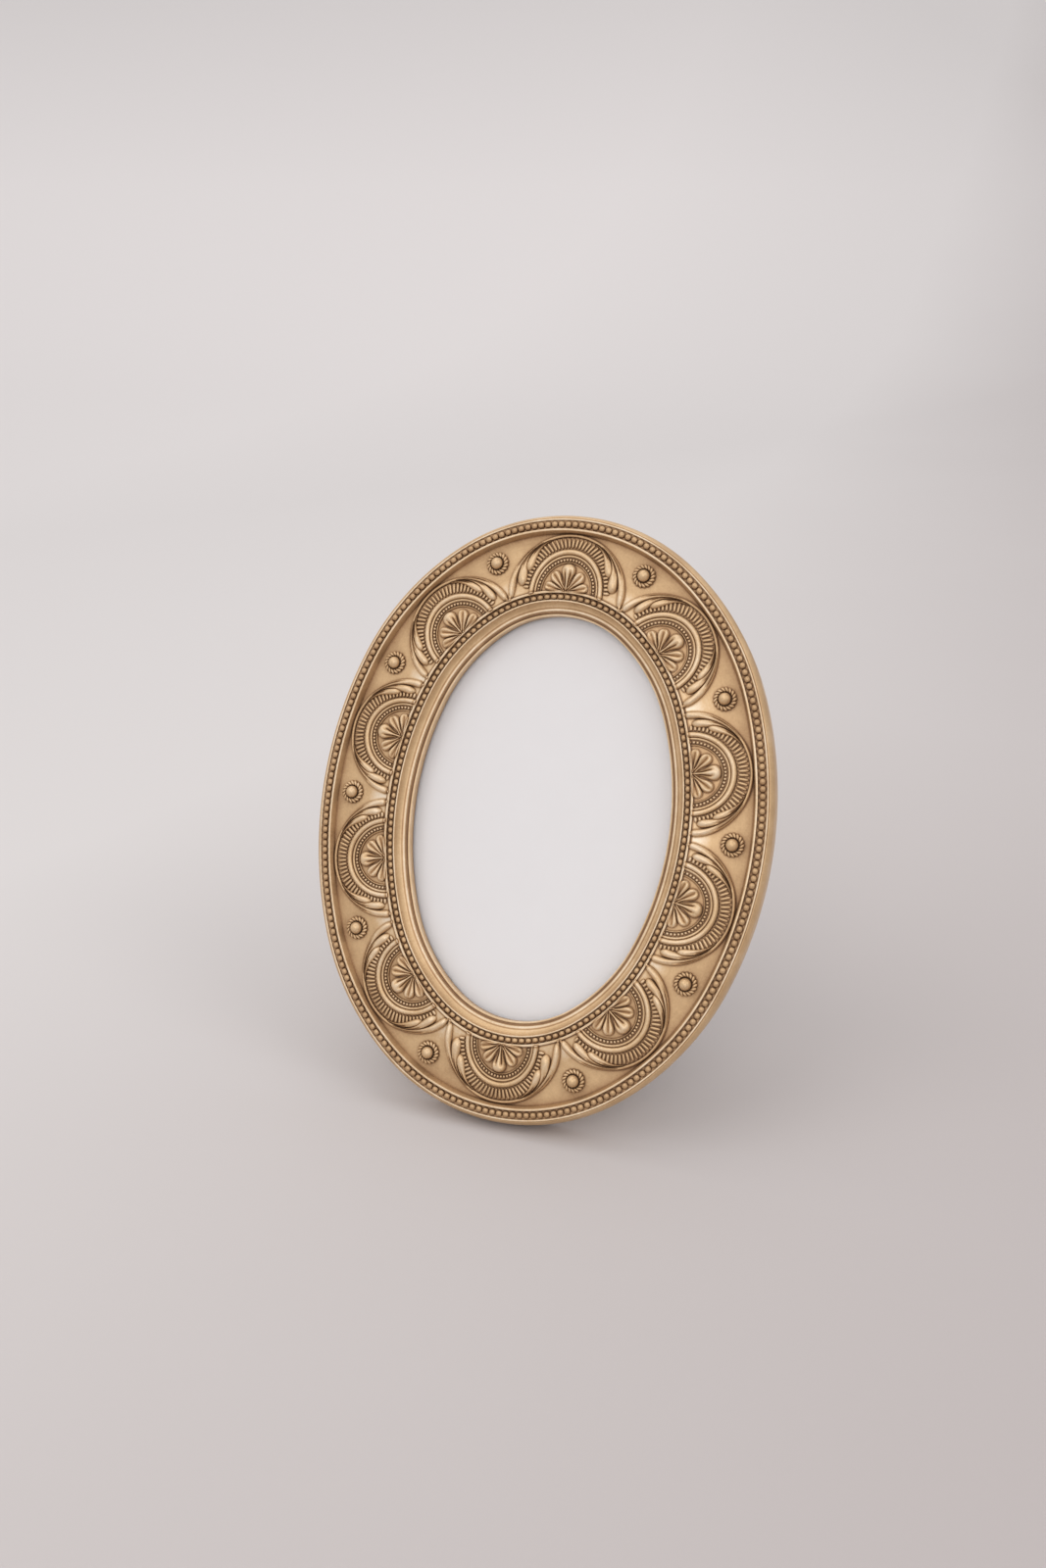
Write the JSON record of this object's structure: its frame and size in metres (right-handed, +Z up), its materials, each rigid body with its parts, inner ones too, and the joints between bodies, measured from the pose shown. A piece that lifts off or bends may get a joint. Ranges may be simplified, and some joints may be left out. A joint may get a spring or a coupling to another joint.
{
  "type": "oval picture frame",
  "caption": "Oval table picture frame with carved antique gold moulding, glass, paper insert, flocked back, folding easel leg, turn buttons and hanging ring.",
  "frame": {"origin": "on the floor under the middle of the frame's bounding box, where it stands on its leg", "axes": "+X to the viewer's right, +Y to the back where the leg stands, +Z up"},
  "size_m": [0.1656, 0.0962, 0.1977],
  "materials": {
    "antique_gold": "cast resin, antique gold paint with brown patina in the recesses",
    "clear_glass": "clear float glass",
    "white_paper": "smooth white paper",
    "flocked_board": "hardboard, black flock",
    "plated_steel": "brass plated",
    "rivet_steel": "brass plated",
    "screw_steel": "zinc plated"
  },
  "bodies": {
    "frame": {"frame_moulding": "antique_gold", "glass_pane": "clear_glass", "photo_insert": "white_paper", "backboard": "flocked_board", "hinge_board_leaf": "plated_steel", "hinge_pin": "plated_steel", "hinge_board_rivets": "rivet_steel", "turn_button_screws": "screw_steel", "hanger_strap": "plated_steel", "hanger_rivet": "rivet_steel"},
    "leg": {"easel_leg": "flocked_board", "hinge_leg_leaf": "plated_steel", "hinge_leg_rivets": "rivet_steel"},
    "hanger": {"hanger_ring": "plated_steel"},
    "button_upper_right": {"turn_button_upper_right": "plated_steel"},
    "button_upper_left": {"turn_button_upper_left": "plated_steel"},
    "button_lower_left": {"turn_button_lower_left": "plated_steel"},
    "button_lower_right": {"turn_button_lower_right": "plated_steel"}
  },
  "joints": [
    {"name": "leg_hinge", "type": "hinge", "parent": "frame", "child": "leg", "pos_m": [0, 0.02456, 0.13549], "axis": [-1, 0, 0], "range_deg": [0, 30.5]},
    {"name": "hanger_swing", "type": "hinge", "parent": "frame", "child": "hanger", "pos_m": [0, 0.03348, 0.15604], "axis": [1, 0, 0], "range_deg": [-11, 158]},
    {"name": "turn_button_upper_right_swivel", "type": "hinge", "parent": "frame", "child": "button_upper_right", "pos_m": [0.03906, 0.03099, 0.1531], "axis": [0, 0.9154, -0.4026], "continuous": true},
    {"name": "turn_button_upper_left_swivel", "type": "hinge", "parent": "frame", "child": "button_upper_left", "pos_m": [-0.03906, 0.03099, 0.1531], "axis": [0, 0.9154, -0.4026], "continuous": true},
    {"name": "turn_button_lower_left_swivel", "type": "hinge", "parent": "frame", "child": "button_lower_left", "pos_m": [-0.03906, -0.01918, 0.03903], "axis": [0, 0.9154, -0.4026], "continuous": true},
    {"name": "turn_button_lower_right_swivel", "type": "hinge", "parent": "frame", "child": "button_lower_right", "pos_m": [0.03906, -0.01918, 0.03903], "axis": [0, 0.9154, -0.4026], "continuous": true}
  ]
}
